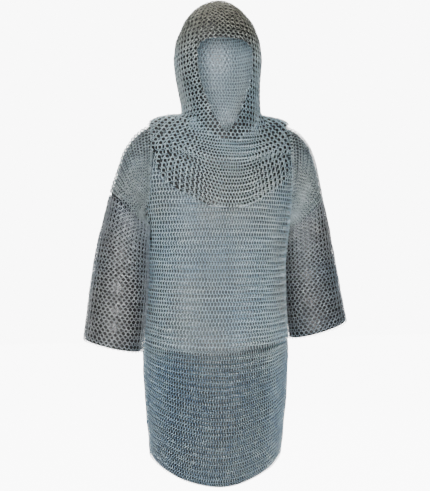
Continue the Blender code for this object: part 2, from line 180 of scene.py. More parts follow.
class Form:
    """A smooth surface. Across goes once round and closes; along goes from 0 to 1."""

    def __init__(self, rows, relief):
        self.rows = rows
        self.relief = relief
        self.down = len(rows) - 1
        self.round = len(rows[0])

    def at(self, across, along):
        """Read a point with the form's folds on it."""
        point = self.plain_at(across, along)
        return point + self.relief(across, point)

    def plain_at(self, across, along):
        """Read a point on a smooth curve through the grid both ways."""
        column = across * self.round
        row = min(max(along, 0.0), 1.0) * self.down
        first = min(int(row), self.down - 1)
        start = math.floor(column)
        weights = curve_weights(column - start)
        total = Vector((0, 0, 0))
        for step, down_weight in enumerate(curve_weights(row - first)):
            line = self.rows[min(max(first + step - 1, 0), self.down)]
            for turn, weight in enumerate(weights):
                total += line[(start + turn - 1) % self.round] * (weight * down_weight)
        return total

    def frame_at(self, across, along):
        """Read a point with the directions across and out of the surface."""
        point = self.at(across, along)
        aside = self.at(across + NEIGHBOUR, along) - self.at(across - NEIGHBOUR, along)
        low = min(along + NEIGHBOUR, 1.0)
        high = max(along - NEIGHBOUR, 0.0)
        down = self.at(across, low) - self.at(across, high)
        out = aside.cross(down)
        return point, aside.normalized(), out.normalized()


def curve_weights(t):
    """Weigh four neighbours for a smooth curve between the middle two."""
    return (
        (-t + 2 * t * t - t**3) / 2,
        (2 - 5 * t * t + 3 * t**3) / 2,
        (t + 4 * t * t - 3 * t**3) / 2,
        (-t * t + t**3) / 2,
    )


def probe_form(tree, rays, relief, columns, rows):
    """Probe a form with a fan of rays, bridge its openings and smooth it once."""
    fans = [[rays(i / columns, j / (rows - 1)) for i in range(columns)] for j in range(rows)]
    grid = []
    for fan in fans:
        line = [probe(tree, pivot, outward) for pivot, outward in fan]
        grid.append(bridge(line, closed=True))
    for index in range(columns):
        line = bridge([row[index] for row in grid], closed=False)
        for row, value in zip(grid, line):
            row[index] = value
    for row in grid:
        row[:] = [(row[i - 1] + 2 * row[i] + row[(i + 1) % columns]) / 4 for i in range(columns)]
    for index in range(columns):
        line = [row[index] for row in grid]
        for j in range(1, rows - 1):
            grid[j][index] = (line[j - 1] + 2 * line[j] + line[j + 1]) / 4
    points = []
    for fan, row in zip(fans, grid):
        points.append([pivot + outward * value for (pivot, outward), value in zip(fan, row)])
    return Form(points, relief)


# %% [markdown]
# ## The shirt's form
# The body is probed level by level from the hem to the armpits, and above
# that with a fan that turns up over the shoulders. The rows of the skirt hang
# lower in front, as the hem does, so its levels are lowered there too. Under
# the arms the mail of body and sleeve is pressed together, and both forms swell
# a little there until they touch.

# %% Levels of the body
BODY_COLUMNS = 96
BODY_ROWS = 70
BODY_X = 0.001  # the middle line of the body
HEM_HEIGHT = -0.853
HEM_DROOP = 0.040
HEM_LOWEST = math.radians(104)
WAIST_HEIGHT = -0.560
DROOP_FROM = -0.500
DROOP_FULL = -0.700
LEVEL_SHARE = 0.82  # this share of the rows is level, the rest is the fan
FAN_HEIGHT = -0.120
FAN_RISE = math.radians(72)
FAN_WIDTH = 0.05  # the steeper a ray, the nearer its pivot is to an oval of these half sizes
FAN_DEPTH = 0.03


def smooth_step(value):
    """Ease from 0 to 1."""
    t = min(max(value, 0.0), 1.0)
    return t * t * (3 - 2 * t)


def droop(angle, z):
    """Lower a place of the skirt towards the front centre, as the hem hangs."""
    share = smooth_step((DROOP_FROM - z) / (DROOP_FROM - DROOP_FULL))
    return HEM_DROOP * share * max(math.cos(angle - HEM_LOWEST), 0) * max(math.sin(angle), 0)


def body_rays(across, along):
    """Aim a ray at the body; along goes from the neck down to the hem."""
    angle = math.tau * across
    if along >= 1 - LEVEL_SHARE:
        z = FAN_HEIGHT + (HEM_HEIGHT - FAN_HEIGHT) * (along - 1 + LEVEL_SHARE) / LEVEL_SHARE
        pivot = Vector((BODY_X, 0, z - droop(angle, z)))
        return pivot, Vector((math.cos(angle), -math.sin(angle), 0))
    rise = FAN_RISE * (1 - along / (1 - LEVEL_SHARE))
    oval = (FAN_WIDTH * math.cos(angle), -FAN_DEPTH * math.sin(angle))
    pivot = Vector((BODY_X + oval[0], oval[1], FAN_HEIGHT))
    pivot -= Vector((*oval, 0)) * math.cos(rise)
    level = Vector((math.cos(angle), -math.sin(angle), 0)) * math.cos(rise)
    return pivot, level + Vector((0, 0, math.sin(rise)))


def droop_at(point):
    """Tell how far the weave is lowered at a point."""
    return droop(math.atan2(-point.y, point.x), point.z)


def body_along(z):
    """Tell how far along the body's form a level is."""
    return 1 - LEVEL_SHARE + LEVEL_SHARE * (z - FAN_HEIGHT) / (HEM_HEIGHT - FAN_HEIGHT)


print("waist at", round(body_along(WAIST_HEIGHT), 3), "of the body's rows")

# %% Probe the body
ARMPIT_HEIGHT = -0.268
ARMPIT_REACH = 0.085
ARMPIT_SWELL = 0.0058
SIDE_START = 0.8  # how far aside the swelling of the body starts, of 1 at its side
SIDE_SPAN = 0.2
FRONT = 0.25  # the middle of the front, of once round


def armpit(point):
    """Swell the mail where body and sleeve press on each other below the arm."""
    level = (point.z - ARMPIT_HEIGHT) / ARMPIT_REACH
    return ARMPIT_SWELL * math.exp(-level * level)


def body_relief(across, point):
    """Swell the sides of the body below the arms."""
    share = smooth_step((abs(math.cos(math.tau * across)) - SIDE_START) / SIDE_SPAN)
    return Vector((math.copysign(armpit(point), point.x), 0, 0)) * share


body_tree = tree_of("body_front", "body_back")
body_form = probe_form(body_tree, body_rays, body_relief, BODY_COLUMNS, BODY_ROWS)
print("chest", rounded(body_form.at(FRONT, body_along(-0.25))))

# %% [markdown]
# ## The sleeves' forms
# A sleeve is a bent tube, from the armhole, which stands upright, to the
# cuff, which is nearly level. Its sections are probed from its middle line.
# Each row below gives the outermost and the innermost point of a section.

# %% Sections of the sleeves
SLEEVE_COLUMNS = 64
SLEEVE_ROWS = 49
SHOULDER_SHARE = 0.5  # the shoulder piece is the first half of the sections
SECTION_COLUMNS = ("outer_x", "outer_z", "inner_x", "inner_z", "centre_y")
SECTIONS = {
    "right": (
        (-0.166, -0.010, -0.1815, -0.2460, 0.000),
        (-0.196, -0.027, -0.1860, -0.2480, 0.000),
        (-0.242, -0.086, -0.1900, -0.2550, -0.004),
        (-0.266, -0.162, -0.1875, -0.2660, -0.019),
        (-0.286, -0.236, -0.1815, -0.2920, -0.037),
        (-0.308, -0.330, -0.1805, -0.3580, -0.046),
        (-0.324, -0.432, -0.1825, -0.4540, -0.056),
        (-0.338, -0.546, -0.1960, -0.5790, -0.060),
    ),
    "left": (
        (0.177, -0.004, 0.1855, -0.2460, 0.000),
        (0.215, -0.020, 0.1900, -0.2480, 0.000),
        (0.256, -0.082, 0.1925, -0.2540, 0.003),
        (0.277, -0.160, 0.1915, -0.2650, 0.010),
        (0.298, -0.232, 0.1875, -0.2900, 0.018),
        (0.320, -0.318, 0.1830, -0.3490, 0.025),
        (0.341, -0.418, 0.1855, -0.4450, 0.028),
        (0.361, -0.521, 0.2010, -0.5690, 0.028),
    ),
}


def section_at(side, along):
    """Read a section of a sleeve between the rows of its table."""
    rows = SECTIONS[side]
    place = min(max(along, 0.0), 1.0) * (len(rows) - 1)
    first = min(int(place), len(rows) - 2)
    weights = curve_weights(place - first)
    values = [0.0] * len(SECTION_COLUMNS)
    for step, weight in enumerate(weights):
        row = rows[min(max(first + step - 1, 0), len(rows) - 1)]
        values = [value + weight * number for value, number in zip(values, row)]
    section = dict(zip(SECTION_COLUMNS, values))
    outer = Vector((section["outer_x"], section["centre_y"], section["outer_z"]))
    inner = Vector((section["inner_x"], section["centre_y"], section["inner_z"]))
    return (outer + inner) / 2, (outer - inner).normalized()


print("armholes", [rounded(section_at(side, 0)[0]) for side in SECTIONS])

# %% Probe the sleeves
SWELL_START = 0.5  # how far inwards the swelling of a sleeve starts, of 1 at its innermost line
SWELL_SPAN = 0.5


def sleeve_rays(side):
    """Make the ray function of one sleeve; across starts at its outermost line."""
    turn_sign = 1 if side == "left" else -1

    def rays(across, along):
        centre, upward = section_at(side, along)
        angle = math.tau * across * turn_sign
        outward = upward * math.cos(angle) + Vector((0, -math.sin(angle), 0))
        return centre, outward

    return rays


def sleeve_relief(across, point):
    """Swell the inner side of a sleeve below the arm."""
    inner = smooth_step((-math.cos(math.tau * across) - SWELL_START) / SWELL_SPAN)
    return Vector((-math.copysign(armpit(point), point.x), 0, 0)) * inner


sleeve_forms = {}
for side in ("right", "left"):
    tree = tree_of(f"shoulder_{side}", f"sleeve_{side}")
    form = probe_form(tree, sleeve_rays(side), sleeve_relief, SLEEVE_COLUMNS, SLEEVE_ROWS)
    sleeve_forms[side] = form
    print(side, "cuff", rounded(form.at(0, 1)))

# %% [markdown]
# ## The hood's form
# From its crown the hood goes down the head, turns in at the neck and spreads
# over the shoulders as the mantle. The rays come level at the head, and slope
# down towards the neck, so that they meet the flat shoulders as squarely as the
# upright neck. In front the weight of the neck's mail folds over the mantle in a
# soft roll, which is added to the form.

# %% Levels of the hood and its mantle
COIF_COLUMNS = 96
COIF_ROWS = 120
NECK_AXIS = Vector((0.0075, -0.020, 0))
HEAD_X = -0.0015  # the middle line of the head
CROWN_RISE = math.radians(89.9)
CROWN_BASE = 0.150
CROWN_SHARE = 0.22  # crown, head and neck end at these shares of the rows
HEAD_SHARE = 0.36
NECK_SHARE = 0.48
HEAD_DROP = 0.100
NECK_TOP = 0.050
NECK_DROP = 0.080
NECK_RADIUS = 0.100  # about how far the neck's mail is from its axis
NECK_RISE = math.radians(45)
MANTLE_TOP = -0.130
MANTLE_DROP = 0.240


def coif_rays(across, along):
    """Aim a ray at the hood; along goes from the crown to the mantle's edge."""
    angle = math.tau * across
    level = Vector((math.cos(angle), -math.sin(angle), 0))
    if along <= CROWN_SHARE:
        rise = CROWN_RISE * (1 - along / CROWN_SHARE)
        pivot = Vector((HEAD_X, NECK_AXIS.y, CROWN_BASE))
        return pivot, level * math.cos(rise) + Vector((0, 0, math.sin(rise)))
    if along <= HEAD_SHARE:
        share = (along - CROWN_SHARE) / (HEAD_SHARE - CROWN_SHARE)
        x = HEAD_X + (NECK_AXIS.x - HEAD_X) * smooth_step(share)
        return Vector((x, NECK_AXIS.y, CROWN_BASE - HEAD_DROP * share)), level
    if along <= NECK_SHARE:
        share = (along - HEAD_SHARE) / (NECK_SHARE - HEAD_SHARE)
        rise = NECK_RISE * share
        height = NECK_TOP - NECK_DROP * share - NECK_RADIUS * math.tan(rise)
        pivot = NECK_AXIS + Vector((0, 0, height))
        return pivot, level * math.cos(rise) + Vector((0, 0, math.sin(rise)))
    share = (along - NECK_SHARE) / (1 - NECK_SHARE)
    pivot = NECK_AXIS + Vector((0, 0, MANTLE_TOP - MANTLE_DROP * share))
    return pivot, (level + Vector((0, 0, 1))).normalized()


print("throat's ray from", rounded(coif_rays(FRONT, NECK_SHARE)[0]))

# %% Probe the hood and its mantle
ROLL_FRONT = -0.122
ROLL_SIDE = -0.078
ROLL_SWELL = 0.0075
ROLL_ABOVE = 0.010  # the roll's thickest place is this much above its middle
ROLL_HEIGHT = 0.018
TUCK_BELOW = 0.012  # and the tuck's deepest place this much below it
TUCK_HEIGHT = 0.010
ROLL_TUCK = 0.0045
ROLL_EASE = 0.45  # how far round from the side the roll reaches its full size


def neck_roll(across, point):
    """Swell the bottom of the neck column in front, where it folds over the mantle."""
    ahead = math.sin(math.tau * across)
    middle = ROLL_SIDE + (ROLL_FRONT - ROLL_SIDE) * max(ahead, 0) ** 2
    above = (point.z - middle - ROLL_ABOVE) / ROLL_HEIGHT
    below = (point.z - middle + TUCK_BELOW) / TUCK_HEIGHT
    swell = ROLL_SWELL * math.exp(-above * above) - ROLL_TUCK * math.exp(-below * below)
    outward = Vector((point.x - NECK_AXIS.x, point.y - NECK_AXIS.y, 0)).normalized()
    return outward * (swell * smooth_step(ahead / ROLL_EASE))


hood_tree = tree_of("coif_hood")
mantle_tree = tree_of("coif_mantle")
coif_tree = tree_of("coif_hood", "coif_mantle")
coif_form = probe_form(coif_tree, coif_rays, neck_roll, COIF_COLUMNS, COIF_ROWS)
print("crown", rounded(coif_form.at(0, 0)))
print("throat", rounded(coif_form.at(FRONT, NECK_SHARE)))

# %% [markdown]
# ## The rings
# Riveted or butted, a mail ring is a short piece of round wire bent to a
# circle. One ring is modelled by spinning a small wire section once round.
# Thousands of copies are then set with Geometry Nodes, which puts the ring on
# each point of a carrier and turns it to the directions stored there. The
# copies are made real, so that every panel's rings are one plain mesh.

# %% One ring of wire
RING_STEPS = 6
WIRE_SIDES = 3


def ring_source(label, radius, wire_radius):
    """Spin a wire section round once into a ring that lies flat."""
    shape = bmesh.new()
    wire = bmesh.ops.create_circle(shape, segments=WIRE_SIDES, radius=wire_radius)["verts"]
    upright = Matrix.Rotation(math.radians(90), 3, "X")
    bmesh.ops.rotate(shape, verts=wire, cent=(0, 0, 0), matrix=upright)
    bmesh.ops.translate(shape, verts=wire, vec=(radius, 0, 0))
    bmesh.ops.spin(
        shape, geom=shape.verts[:] + shape.edges[:], cent=(0, 0, 0), axis=(0, 0, 1),
        angle=math.tau, steps=RING_STEPS, use_merge=True,
    )
    bmesh.ops.recalc_face_normals(shape, faces=shape.faces[:])
    for face in shape.faces:
        face.smooth = True
    mesh = bpy.data.meshes.new(label)
    shape.to_mesh(mesh)
    shape.free()
    return bpy.data.objects.new(label, mesh)


# %% Geometry Nodes that set a ring on every point
def setting_nodes(ring):
    """Build the node tree that sets one ring on each point of a carrier."""
    tree = bpy.data.node_groups.new("set " + ring.name, "GeometryNodeTree")
    tree.interface.new_socket("Carrier", in_out="INPUT", socket_type="NodeSocketGeometry")
    tree.interface.new_socket("Rings", in_out="OUTPUT", socket_type="NodeSocketGeometry")
    source = tree.nodes.new("NodeGroupInput")
    result = tree.nodes.new("NodeGroupOutput")
    info = tree.nodes.new("GeometryNodeObjectInfo")
    info.inputs["Object"].default_value = ring
    turn = tree.nodes.new("FunctionNodeAxesToRotation")
    turn.primary_axis = "Z"
    turn.secondary_axis = "X"
    for name, socket in (("ring_axis", 0), ("ring_down", 1)):
        stored = tree.nodes.new("GeometryNodeInputNamedAttribute")
        stored.data_type = "FLOAT_VECTOR"
        stored.inputs["Name"].default_value = name
        tree.links.new(stored.outputs["Attribute"], turn.inputs[socket])
    setting = tree.nodes.new("GeometryNodeInstanceOnPoints")
    real = tree.nodes.new("GeometryNodeRealizeInstances")
    tree.links.new(source.outputs[0], setting.inputs["Points"])
    tree.links.new(info.outputs["Geometry"], setting.inputs["Instance"])
    tree.links.new(turn.outputs["Rotation"], setting.inputs["Rotation"])
    tree.links.new(setting.outputs["Instances"], real.inputs["Geometry"])
    tree.links.new(real.outputs["Geometry"], result.inputs[0])
    return tree


# %% [markdown]
# ## The weave
# In the usual weave each ring holds four others. The rings of one row all
# lean one way, and those of the next row lean the other way, half a ring
# aside. Where the mail hangs straight down its rings close up sideways and
# lean steeply. Where it is stretched sideways they lie nearly flat and show
# square holes. Each row starts as a circle of points, which is laid on the
# form, and points that don't lie on the wall are removed.

# %% Lay rows of rings on a form
random = Random(7)
noise.seed_set(3)  # otherwise the noise differs from run to run
WANDER_SCALE = 24
WANDER = 0.0017  # how far a ring strays, together with its neighbours
LEAN_PLAY = 5  # in degrees, how much one ring's lean and tilt differ from the next one's
LIFT_PLAY = 0.0002


def evenly(across):
    """Space the rings of a row evenly."""
    return across


def lay_rows(name, form, rows, ring, lean, lift, on_wall, facing=1, spread=evenly):
    """Lay rows of rings: each row is its count, its offset and its place along the form."""
    lean_at = lean if callable(lean) else lambda across: lean
    points = bmesh.new()
    axis_layer = points.verts.layers.float_vector.new("ring_axis")
    down_layer = points.verts.layers.float_vector.new("ring_down")
    tone_layer = points.verts.layers.float.new("ring_tone")
    for order, (count, offset, along_at) in enumerate(rows):
        circle = bmesh.ops.create_circle(points, segments=count, radius=1)["verts"]
        sign = 1 if order % 2 else -1
        spare = []
        for index, vert in enumerate(circle):
            across = spread((index + offset) / count)
            along = along_at(across)
            point, aside, out = form.frame_at(across, along)
            if not on_wall(form.plain_at(across, along), out, across):
                spare.append(vert)
                continue
            point += noise.noise_vector(point * WANDER_SCALE) * WANDER
            out = out * facing
            angle = sign * math.radians(lean_at(across) + random.uniform(-LEAN_PLAY, LEAN_PLAY))
            tilt = math.radians(random.uniform(-LEAN_PLAY, LEAN_PLAY))
            down = out.cross(aside)
            down.normalize()
            axis = out * math.cos(angle) + aside * math.sin(angle)
            axis = axis * math.cos(tilt) + down * math.sin(tilt)
            vert.co = point + out * (lift + random.uniform(-LIFT_PLAY, LIFT_PLAY))
            vert[axis_layer] = axis
            vert[down_layer] = down
            vert[tone_layer] = random.random()
        bmesh.ops.delete(points, geom=spare, context="VERTS")
    mesh = bpy.data.meshes.new(name + "_carrier")
    points.to_mesh(mesh)
    laid = len(points.verts)
    points.free()
    carrier = new_object(name + "_carrier", mesh)
    modifier = carrier.modifiers.new("rings", "NODES")
    modifier.node_group = setting_nodes(ring)
    evaluated = carrier.evaluated_get(bpy.context.evaluated_depsgraph_get())
    piece = new_object(name, bpy.data.meshes.new_from_object(evaluated))
    piece.data.name = name
    piece.data.materials.clear()
    bpy.data.objects.remove(carrier)
    triangles = sum(len(polygon.vertices) - 2 for polygon in piece.data.polygons)
    print(name, laid, "rings", triangles, "triangles")
    return piece


# %% Rows at an even distance
ROW_STEPS = 2000  # places read along a column to measure it


def level_rows(form, across, span, pitches, count):
    """List rows down one column of a form, from the first pitch to the last one."""
    start, end = span
    first_pitch, last_pitch = pitches
    rows = []
    length = 0.0
    target = 0.0
    before = form.at(across, start)
    for step in range(1, ROW_STEPS + 1):
        along = start + (end - start) * step / ROW_STEPS
        point = form.at(across, along)
        length += (point - before).length
        before = point
        if length >= target:
            offset = 0.5 * (len(rows) % 2)
            rows.append((count, offset, lambda across, along=along: along))
            target += first_pitch + (last_pitch - first_pitch) * step / ROW_STEPS
    return rows


# %% [markdown]
# ## The cloth below the rings
# Between the rings one looks into the shade of the mail's own thickness. A thin
# cloth stands for that depth, and its dark colour is painted shade. It lies just
# inside the rings, follows the same form, and is cut along the edges of the wall
# that it replaces.

# %% Lay a cloth on a form
CLOTH_THICKNESS = 0.0010
CLOTH_TO_WALL = 0.0022  # cloth is kept where the wall is at least this near
EDGE_CUTS = 3
SEAM_GAP = 0.00005


def everywhere(point):
    """Keep every place of a wall."""
    return True


def lay_cloth(
    name, form, tree, grid, reach, weave_counts, depth, closed=True, kept=everywhere
):
    """Lay a grid on part of a form, cut it at the wall's edges and set it inwards."""
    from_across, to_across, from_along, to_along = reach
    cloth = bmesh.new()
    uv_layer = cloth.loops.layers.uv.new("weave")
    bmesh.ops.create_grid(cloth, x_segments=grid[0], y_segments=grid[1], size=0.5)

    def place_of(vert):
        across = from_across + (to_across - from_across) * (vert.co.x + 0.5)
        return across, from_along + (to_along - from_along) * (0.5 - vert.co.y)

    def on_wall(spot):
        point = form.plain_at(*spot)
        return kept(point) and tree.find_nearest(point, CLOTH_TO_WALL)[0] is not None

    placed = {vert: on_wall(place_of(vert)) for vert in cloth.verts}
    cut = [edge for edge in cloth.edges if placed[edge.verts[0]] != placed[edge.verts[1]]]
    crossed = {face for edge in cut for face in edge.link_faces}
    rims = list({edge for face in crossed for edge in face.edges})
    bmesh.ops.subdivide_edges(cloth, edges=rims, cuts=EDGE_CUTS, use_grid_fill=True)
    places = {vert: place_of(vert) for vert in cloth.verts}
    for face in cloth.faces:
        for loop in face.loops:
            across, along = places[loop.vert]
            loop[uv_layer].uv = (across * weave_counts[0], along * weave_counts[1])
    outs = {}
    for vert, (across, along) in places.items():
        vert.co, aside, outs[vert] = form.frame_at(across, along)
    spare = []
    for face in cloth.faces:
        middle = sum((Vector(places[vert]) for vert in face.verts), Vector((0, 0)))
        if not on_wall(middle / len(face.verts)):
            spare.append(face)
    bmesh.ops.delete(cloth, geom=spare, context="FACES")
    for vert in cloth.verts:
        vert.co -= outs[vert] * depth
    if closed:
        bmesh.ops.remove_doubles(cloth, verts=cloth.verts[:], dist=SEAM_GAP)
    for face in cloth.faces:
        face.smooth = True
    mesh = bpy.data.meshes.new(name)
    cloth.to_mesh(mesh)
    cloth.free()
    piece = new_object(name, mesh)
    shell = piece.modifiers.new("thickness", "SOLIDIFY")
    shell.thickness = CLOTH_THICKNESS
    shell.offset = -1
    print(name, len(mesh.polygons), "faces")
    return piece


# %% [markdown]
# ## Steel and cloth finishes
# The rings are zinc-plated wire: blue-grey, a little dull, brighter where they
# rub. Every ring has its own tone, because no two take the plating alike, and
# the plating drifts from warm to cool over a hand's breadth. The crown has
# browner rings than the hood's sides, and those of the skirt turn bluer below
# the waist, so two of the steels change with the height. The cloth below is
# nearly black, which is painted shade for the dark between the rings, and
# carries the same weave as a drawn pattern, so that the inside of the shirt
# looks like mail too. The inner side of the hood's and the mantle's cloth is
# painted paler, and the rings inside the hood's back have paler, less metallic
# steel: this is painted light, for the light that falls in at the face and
# comes back from ring to ring.

# %% Helpers for shader nodes
FLOAT = "NodeSocketFloat"
COLOUR = "NodeSocketColor"
VECTOR = "NodeSocketVector"


def add_node(tree, kind, **values):
    """Add a node and set its properties."""
    node = tree.nodes.new(kind)
    for name, value in values.items():
        setattr(node, name, value)
    return node


def feed_socket(tree, socket, value):
    """Connect a socket to another one, or set it to a plain value."""
    if isinstance(value, bpy.types.NodeSocket):
        tree.links.new(value, socket)
    else:
        socket.default_value = value


def feed(tree, node, **values):
    """Feed a node's inputs, whose names have underscores for spaces here."""
    for name, value in values.items():
        feed_socket(tree, node.inputs[name.replace("_", " ")], value)


def calculate(tree, operation, *inputs, clamp=False):
    """Add a Math node and feed its inputs in their order."""
    node = add_node(tree, "ShaderNodeMath", operation=operation, use_clamp=clamp)
    for socket, value in zip(node.inputs, inputs):
        feed_socket(tree, socket, value)
    return node.outputs[0]


def mix_colours(tree, factor, first, second, blend="MIX"):
    """Add a Mix node for two colours."""
    node = add_node(tree, "ShaderNodeMix", data_type="RGBA", blend_type=blend)
    feed(tree, node, Factor=factor, A=first, B=second)
    return node.outputs["Result"]


def clouds(tree, place, scale, detail):
    """Add a Noise node that reads a place."""
    node = add_node(tree, "ShaderNodeTexNoise")
    feed(tree, node, Vector=place, Scale=scale, Detail=detail)
    return node.outputs["Fac"]


def ramp(tree, value, start, end, low=0.0, high=1.0, kind="SMOOTHSTEP"):
    """Add a Map Range node that goes from low to high as a value goes from start to end."""
    node = add_node(tree, "ShaderNodeMapRange", interpolation_type=kind)
    feed(tree, node, Value=value, From_Min=start, From_Max=end, To_Min=low, To_Max=high)
    return node.outputs["Result"]


def axes(tree, place):
    """Split a place in its X, Y and Z."""
    node = add_node(tree, "ShaderNodeSeparateXYZ")
    feed(tree, node, Vector=place)
    return node.outputs


def new_group(name, inputs, outputs):
    """Make a shader node group with named inputs and outputs."""
    group = bpy.data.node_groups.new(name, "ShaderNodeTree")
    for label, kind, value in inputs:
        socket = group.interface.new_socket(label, in_out="INPUT", socket_type=kind)
        if value is not None:
            socket.default_value = value
    for label, kind in outputs:
        group.interface.new_socket(label, in_out="OUTPUT", socket_type=kind)
    given = group.nodes.new("NodeGroupInput").outputs
    return group, given, group.nodes.new("NodeGroupOutput")


print("sockets", FLOAT, COLOUR, VECTOR)

# %% The zinc plate
PATCH_SHARE = 0.9  # how much the patches and a ring's own tone freshen the plate
TONE_SHARE = 0.6
DULL_SHARE = 0.25
BLOOM_DETAIL = 4
DRIFT_SCALE = 4.5
DRIFT_DETAIL = 2
DRIFT_SPAN = (0.35, 0.65)
WARM_CAST = (0.93, 0.97, 0.95, 1)
COOL_CAST = (0.77, 0.92, 1.0, 1)
DULL_ROUGHNESS = 0.46
FRESH_POLISH = 0.16  # how much smoother fresh plate is than dull plate


def zinc_plate_group():
    """Build the plate, whose colour and gloss change from ring to ring and in patches."""
    group, given, result = new_group(
        "zinc plate",
        [
            ("Fresh", COLOUR, (0.6, 0.66, 0.72, 1)),
            ("Dull", COLOUR, (0.3, 0.32, 0.34, 1)),
            ("Tone", FLOAT, 0.5),
            ("Bloom Scale", FLOAT, 60.0),
        ],
        [("Color", COLOUR), ("Roughness", FLOAT)],
    )
    place = add_node(group, "ShaderNodeTexCoord").outputs["Object"]
    bloom = clouds(group, place, given["Bloom Scale"], BLOOM_DETAIL)
    patch = calculate(group, "MULTIPLY", bloom, PATCH_SHARE)
    own = calculate(group, "MULTIPLY", given["Tone"], TONE_SHARE)
    share = calculate(group, "ADD", patch, own)
    share = calculate(group, "SUBTRACT", share, DULL_SHARE, clamp=True)
    shade = mix_colours(group, share, given["Dull"], given["Fresh"])
    drift = clouds(group, place, DRIFT_SCALE, DRIFT_DETAIL)
    drift = ramp(group, drift, *DRIFT_SPAN, kind="LINEAR")
    cast = mix_colours(group, drift, WARM_CAST, COOL_CAST)
    tinted = mix_colours(group, 1.0, shade, cast, "MULTIPLY")
    gloss = calculate(group, "MULTIPLY_ADD", share, -FRESH_POLISH, DULL_ROUGHNESS)
    feed(group, result, Color=tinted, Roughness=gloss)
    return group


zinc_plate = zinc_plate_group()
print("zinc plate", len(zinc_plate.nodes), "nodes")

# %% Drawn mail
WIRE_SHARE = 0.26  # how wide the wire is drawn, of the ring's half size
ROUND_RING = (0.72, 0.66)  # half width and half height of a drawn ring, in rings and rows
CLOSE_RING = (0.6, 0.66)
OPEN_RING = (0.42, 0.8)
RING_INPUTS = [("Half Width", FLOAT, 0.7), ("Half Height", FLOAT, 0.66)]


def drawn_ring_group():
    """Build the mark of one drawn ring about a middle."""
    places = [("X", FLOAT, 0.0), ("Y", FLOAT, 0.0)]
    group, given, result = new_group("one drawn ring", places + RING_INPUTS, [("Mark", FLOAT)])
    wide = calculate(group, "DIVIDE", given["X"], given["Half Width"])
    tall = calculate(group, "DIVIDE", given["Y"], given["Half Height"])
    wide = calculate(group, "MULTIPLY", wide, wide)
    tall = calculate(group, "MULTIPLY", tall, tall)
    distance = calculate(group, "SQRT", calculate(group, "ADD", wide, tall))
    distance = calculate(group, "ABSOLUTE", calculate(group, "SUBTRACT", distance, 1.0))
    faint = calculate(group, "DIVIDE", distance, WIRE_SHARE)
    feed(group, result, Mark=calculate(group, "SUBTRACT", 1.0, faint, clamp=True))
    return group


def drawn_mail_group(one_ring):
    """Build the weave: each place looks for the rings of its row and of both rows beside it."""
    inputs = [("Vector", VECTOR, None)] + RING_INPUTS
    group, given, result = new_group("drawn mail", inputs, [("Mask", FLOAT)])
    spot = axes(group, given["Vector"])
    row = calculate(group, "FLOOR", spot["Y"])
    strongest = None
    for step in (-1.0, 0.0, 1.0):
        own_row = calculate(group, "ADD", row, step)
        odd = calculate(group, "FLOORED_MODULO", own_row, 2.0)
        aside = calculate(group, "MULTIPLY_ADD", odd, 0.5, spot["X"])
        x = calculate(group, "SUBTRACT", calculate(group, "FRACT", aside), 0.5)
        y = calculate(group, "SUBTRACT", spot["Y"], own_row)
        y = calculate(group, "SUBTRACT", y, 0.5)
        for shift in (-0.5, 0.5):
            ring = add_node(group, "ShaderNodeGroup", node_tree=one_ring)
            feed(group, ring, X=calculate(group, "ADD", x, shift), Y=y)
            feed(group, ring, Half_Width=given["Half Width"], Half_Height=given["Half Height"])
            here = ring.outputs["Mark"]
            if strongest is not None:
                here = calculate(group, "MAXIMUM", strongest, here)
            strongest = here
    feed(group, result, Mask=strongest)
    return group


drawn_mail = drawn_mail_group(drawn_ring_group())
print("drawn mail", len(drawn_mail.nodes), "nodes")


# %% Steel of the rings
def new_material(name):
    """Make a material and give its node tree and its shader too."""
    material = bpy.data.materials.new(name)
    material.use_nodes = True
    return material, material.node_tree, material.node_tree.nodes["Principled BSDF"]


def plated(tree, shader, fresh, dull):
    """Place the zinc plate in a material, where it gives the roughness."""
    finish = add_node(tree, "ShaderNodeGroup", node_tree=zinc_plate)
    feed(tree, finish, Fresh=(*fresh, 1), Dull=(*dull, 1))
    feed(tree, shader, Roughness=finish.outputs["Roughness"])
    return finish


def ring_steel(name, fresh, dull, metal=0.9):
    """Make the steel of one panel's rings."""
    material, tree, shader = new_material(name)
    tone = add_node(tree, "ShaderNodeAttribute", attribute_name="ring_tone")
    finish = plated(tree, shader, fresh, dull)
    feed(tree, finish, Tone=tone.outputs["Fac"])
    feed(tree, shader, Metallic=metal, Base_Color=finish.outputs["Color"])
    return material


body_steel = ring_steel("body_steel", (0.94, 1.0, 1.0), (0.65, 0.76, 0.87))
skirt_steel = ring_steel("skirt_steel", (0.92, 1.0, 1.0), (0.52, 0.60, 0.66))
shoulder_steel = ring_steel("shoulder_steel", (0.86, 0.89, 0.89), (0.34, 0.36, 0.37))
sleeve_steel = ring_steel("sleeve_steel", (0.76, 0.76, 0.79), (0.32, 0.32, 0.345))
coif_steel = ring_steel("coif_steel", (0.66, 0.62, 0.54), (0.22, 0.21, 0.18))
mantle_steel = ring_steel("mantle_steel", (0.94, 1.0, 1.0), (0.66, 0.75, 0.82))
# Paler, less metallic steel for the rings inside the hood's back: painted light, so that they
# look evenly lit through the face opening.
inner_steel_painted_light = ring_steel("inner_steel_painted_light", (0.92, 0.98, 1.0), (0.76, 0.83, 0.88), metal=0.2)
print("steels", [material.name for material in bpy.data.materials])

# %% Steels that change with the height
CROWN_EDGE = (0.13, 0.22)  # the hood's sides are bluer than its crown
SKIRT_EDGE = (-0.640, -0.545)  # the skirt turns bluer from the waist down


def change_below(material, edge, fresh, dull):
    """Turn a steel to other colours below a height, softly between the two edges."""
    tree = material.node_tree
    finish = next(node for node in tree.nodes if node.type == "GROUP")
    place = add_node(tree, "ShaderNodeTexCoord").outputs["Object"]
    above = ramp(tree, axes(tree, place)["Z"], *edge)
    for tone, colour in (("Fresh", fresh), ("Dull", dull)):
        higher = finish.inputs[tone].default_value[:]
        feed(tree, finish, **{tone: mix_colours(tree, above, (*colour, 1), higher)})


